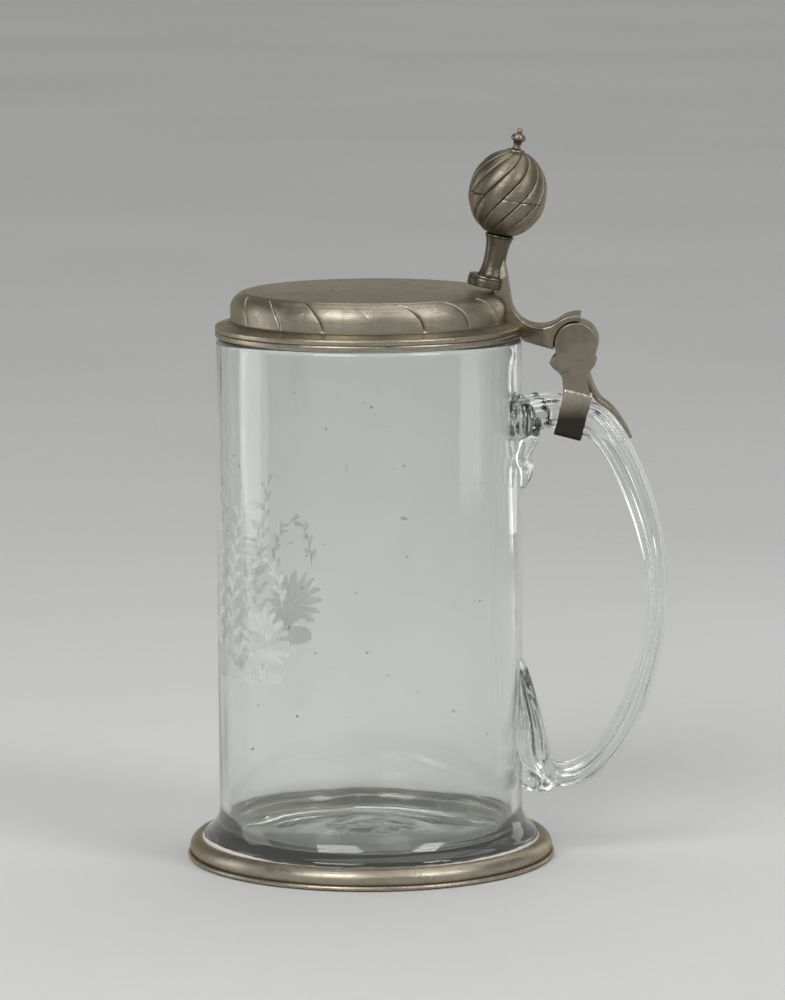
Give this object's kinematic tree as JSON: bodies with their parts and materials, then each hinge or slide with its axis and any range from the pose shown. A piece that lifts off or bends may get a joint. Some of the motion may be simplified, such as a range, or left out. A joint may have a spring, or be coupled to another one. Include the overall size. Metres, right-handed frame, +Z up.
{
  "type": "lidded glass tankard",
  "caption": "Cylindrical glass tankard with a reeded glass handle, pewter foot ring and a hinged pewter lid that opens with a ball-shaped thumbpiece.",
  "frame": {"origin": "centre of the foot ring's flat underside, on the axis of the glass", "axes": "+Z up along the axis of the glass, +X towards the handle, +Y along the hinge pin"},
  "size_m": [0.1585, 0.1212, 0.24],
  "materials": {
    "glass": "clear greenish-grey blown glass with seeds and ripples",
    "pewter": "satin pewter, warm grey, worn bright on its edges",
    "pin_steel": "dull iron pin",
    "plaster": "chalky white plaster"
  },
  "bodies": {
    "vessel": {"glass_body": "glass", "glass_handle": "glass", "foot_ring": "pewter", "foot_plaster": "plaster", "handle_strap": "pewter", "handle_bracket": "pewter", "hinge_pin": "pin_steel"},
    "lid_assembly": {"lid": "pewter", "lid_hinge_arm": "pewter", "thumb_collar": "pewter", "thumb_stem": "pewter", "ball_lower_half": "pewter", "ball_upper_half": "pewter", "finial_knob": "pewter"}
  },
  "joints": [
    {"name": "lid_hinge", "type": "hinge", "parent": "vessel", "child": "lid_assembly", "pos_m": [0.068, 0, 0.1705], "axis": [0, 1, 0], "range_deg": [0, 115]}
  ]
}
